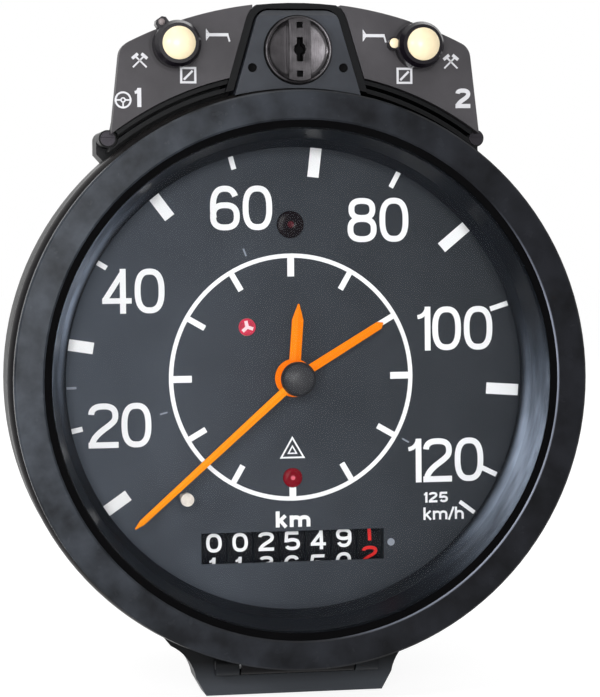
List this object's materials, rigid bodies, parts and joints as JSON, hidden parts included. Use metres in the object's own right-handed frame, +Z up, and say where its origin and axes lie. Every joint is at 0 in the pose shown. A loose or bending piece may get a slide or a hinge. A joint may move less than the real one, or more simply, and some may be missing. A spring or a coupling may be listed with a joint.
{
  "type": "tachograph",
  "caption": "Round panel tachograph: glazed lid with clock, speed pointer and distance counter, hinged at its foot on a case with a rear barrel, chart discs and recording styluses.",
  "frame": {"origin": "on the dial axis, in the plane of the panel's front face (the rear face of the gasket)", "axes": "+Y along the barrel into the panel, +Z up towards the lock, +X to the reader's right"},
  "size_m": [0.1598, 0.1495, 0.1914],
  "materials": {
    "frame_black": "satin black",
    "gasket_rubber": "matt",
    "cheek_grey": "fine moulded texture",
    "screw_steel": "turned",
    "barrel_grey": "satin",
    "zinc_steel": "zinc plated",
    "connector_plastic": "moulded",
    "blade_brass": "bright",
    "recorder_aluminium": "rolled",
    "guide_steel": "ground",
    "switch_green": "moulded",
    "lid_black": "satin black",
    "bezel_slate": "satin slate",
    "seal_black": "matt",
    "window_glass": "clear",
    "wall_dark": "matt",
    "dial_slate": "matt slate",
    "scale_white": "printed",
    "lens_red": "clear red",
    "peg_white": "sleeve",
    "lock_plate_slate": "satin slate",
    "pan_grey": "satin",
    "movement_brass": "brushed",
    "counter_aluminium": "stamped",
    "separator_aluminium": "rolled",
    "rotor_black": "satin black",
    "knob_black": "polished",
    "cap_cream": "polished",
    "pointer_orange": "orange",
    "hub_black": "satin",
    "hand_orange": "orange",
    "indicator_red": "red",
    "spindle_brass": "turned",
    "chart_card": "waxed",
    "clip_green": "moulded",
    "stylus_red": "moulded",
    "stylus_yellow": "moulded",
    "stylus_blue": "moulded",
    "drum_black": "matt"
  },
  "bodies": {
    "case": {"front_frame": "frame_black", "mounting_gasket": "gasket_rubber", "cheek_left": "cheek_grey", "cheek_right": "cheek_grey", "corner_screws": "screw_steel", "barrel": "barrel_grey", "rear_cover": "barrel_grey", "rear_screws": "zinc_steel", "connector_blocks": "connector_plastic", "connector_blades": "blade_brass", "clamp_studs": "zinc_steel", "ground_stud": "blade_brass", "recorder_plate": "recorder_aluminium", "plate_screws": "screw_steel", "stylus_guide": "guide_steel", "lock_keeper": "guide_steel", "hinge_pin": "guide_steel", "mode_switches": "switch_green"},
    "lid": {"lid_ring": "lid_black", "bezel_ring": "bezel_slate", "glass_seal": "seal_black", "glass": "window_glass", "inner_wall": "wall_dark", "dial_plate": "dial_slate", "dial_scale": "scale_white", "signal_lenses": "lens_red", "stop_peg": "peg_white", "lock_plate": "lock_plate_slate", "lid_pan": "pan_grey", "pan_screws": "zinc_steel", "clock_movement": "movement_brass", "counter_frame": "counter_aluminium", "separator_plate": "separator_aluminium"},
    "lock": {"lock_rotor": "rotor_black", "lock_cam": "guide_steel"},
    "left_knob": {"mode_knob_left": "knob_black", "mode_cap_left": "cap_cream"},
    "right_knob": {"mode_knob_right": "knob_black", "mode_cap_right": "cap_cream"},
    "pointer": {"speed_pointer": "pointer_orange", "hub_cap": "hub_black"},
    "minute": {"minute_hand": "hand_orange"},
    "hour": {"hour_hand": "hand_orange"},
    "indicator": {"run_indicator": "indicator_red"},
    "spindle": {"chart_spindle": "spindle_brass", "chart_front": "chart_card", "chart_rear": "chart_card", "chart_clip": "clip_green"},
    "speed_recorder": {"speed_stylus": "stylus_red"},
    "distance_recorder": {"distance_stylus": "stylus_yellow"},
    "activity_recorder": {"activity_stylus": "stylus_blue"},
    "drum_1": {"counter_drum_1": "drum_black"},
    "drum_2": {"counter_drum_2": "drum_black"},
    "drum_3": {"counter_drum_3": "drum_black"},
    "drum_4": {"counter_drum_4": "drum_black"},
    "drum_5": {"counter_drum_5": "drum_black"},
    "drum_6": {"counter_drum_6": "drum_black"},
    "drum_7": {"counter_drum_7": "drum_black"}
  },
  "joints": [
    {"name": "lid_hinge", "type": "hinge", "parent": "case", "child": "lid", "pos_m": [0, -0.015, -0.0795], "axis": [1, 0, 0], "range_deg": [0, 95]},
    {"name": "lock_turn", "type": "hinge", "parent": "lid", "child": "lock", "pos_m": [0, -0.0244, 0.0899], "axis": [0, 1, 0], "range_deg": [0, 90]},
    {"name": "left_mode", "type": "hinge", "parent": "case", "child": "left_knob", "pos_m": [-0.0335, -0.025, 0.0912], "axis": [0, 1, 0], "range_deg": [0, 241]},
    {"name": "right_mode", "type": "hinge", "parent": "case", "child": "right_knob", "pos_m": [0.0335, -0.025, 0.0912], "axis": [0, 1, 0], "range_deg": [0, 161]},
    {"name": "speed_sweep", "type": "hinge", "parent": "lid", "child": "pointer", "pos_m": [0, -0.012, 0], "axis": [0, 1, 0], "range_deg": [0, 258]},
    {"name": "chart_turn", "type": "hinge", "parent": "lid", "child": "spindle", "pos_m": [0, 0.015, 0], "axis": [0, 1, 0], "continuous": true},
    {"name": "hour_turn", "type": "hinge", "parent": "lid", "child": "hour", "pos_m": [0, -0.012, 0], "axis": [0, 1, 0], "continuous": true},
    {"name": "minute_turn", "type": "hinge", "parent": "lid", "child": "minute", "pos_m": [0, -0.012, 0], "axis": [0, 1, 0], "continuous": true},
    {"name": "indicator_turn", "type": "hinge", "parent": "lid", "child": "indicator", "pos_m": [-0.0124, -0.012, 0.0142], "axis": [0, 1, 0], "continuous": true},
    {"name": "speed_record", "type": "slide", "parent": "case", "child": "speed_recorder", "axis": [0, 0, 1], "range_m": [0, 0.0181]},
    {"name": "distance_record", "type": "slide", "parent": "case", "child": "distance_recorder", "axis": [0, 0, 1], "range_m": [0, 0.005]},
    {"name": "activity_record", "type": "slide", "parent": "case", "child": "activity_recorder", "axis": [0, 0, 1], "range_m": [0, 0.003]},
    {"name": "drum_1_turn", "type": "hinge", "parent": "lid", "child": "drum_1", "pos_m": [-0.0222, 0.0004, -0.0474], "axis": [-1, 0, 0], "continuous": true},
    {"name": "drum_2_turn", "type": "hinge", "parent": "lid", "child": "drum_2", "pos_m": [-0.0148, 0.0004, -0.0474], "axis": [-1, 0, 0], "continuous": true},
    {"name": "drum_3_turn", "type": "hinge", "parent": "lid", "child": "drum_3", "pos_m": [-0.0074, 0.0004, -0.0474], "axis": [-1, 0, 0], "continuous": true},
    {"name": "drum_4_turn", "type": "hinge", "parent": "lid", "child": "drum_4", "pos_m": [0, 0.0004, -0.0474], "axis": [-1, 0, 0], "continuous": true},
    {"name": "drum_5_turn", "type": "hinge", "parent": "lid", "child": "drum_5", "pos_m": [0.0074, 0.0004, -0.0474], "axis": [-1, 0, 0], "continuous": true},
    {"name": "drum_6_turn", "type": "hinge", "parent": "lid", "child": "drum_6", "pos_m": [0.0148, 0.0004, -0.0474], "axis": [-1, 0, 0], "continuous": true},
    {"name": "drum_7_turn", "type": "hinge", "parent": "lid", "child": "drum_7", "pos_m": [0.0222, 0.0004, -0.0474], "axis": [-1, 0, 0], "continuous": true}
  ],
  "couplings": [
    {"joint": "hour_turn", "follows": "chart_turn", "ratio": 2},
    {"joint": "minute_turn", "follows": "chart_turn", "ratio": 24},
    {"joint": "indicator_turn", "follows": "chart_turn", "ratio": 48},
    {"joint": "speed_record", "follows": "speed_sweep", "m_per_rad": 0.004},
    {"joint": "drum_1_turn", "follows": "drum_7_turn", "ratio": 0.000001},
    {"joint": "drum_2_turn", "follows": "drum_7_turn", "ratio": 0.00001},
    {"joint": "drum_3_turn", "follows": "drum_7_turn", "ratio": 0.0001},
    {"joint": "drum_4_turn", "follows": "drum_7_turn", "ratio": 0.001},
    {"joint": "drum_5_turn", "follows": "drum_7_turn", "ratio": 0.01},
    {"joint": "drum_6_turn", "follows": "drum_7_turn", "ratio": 0.1}
  ]
}
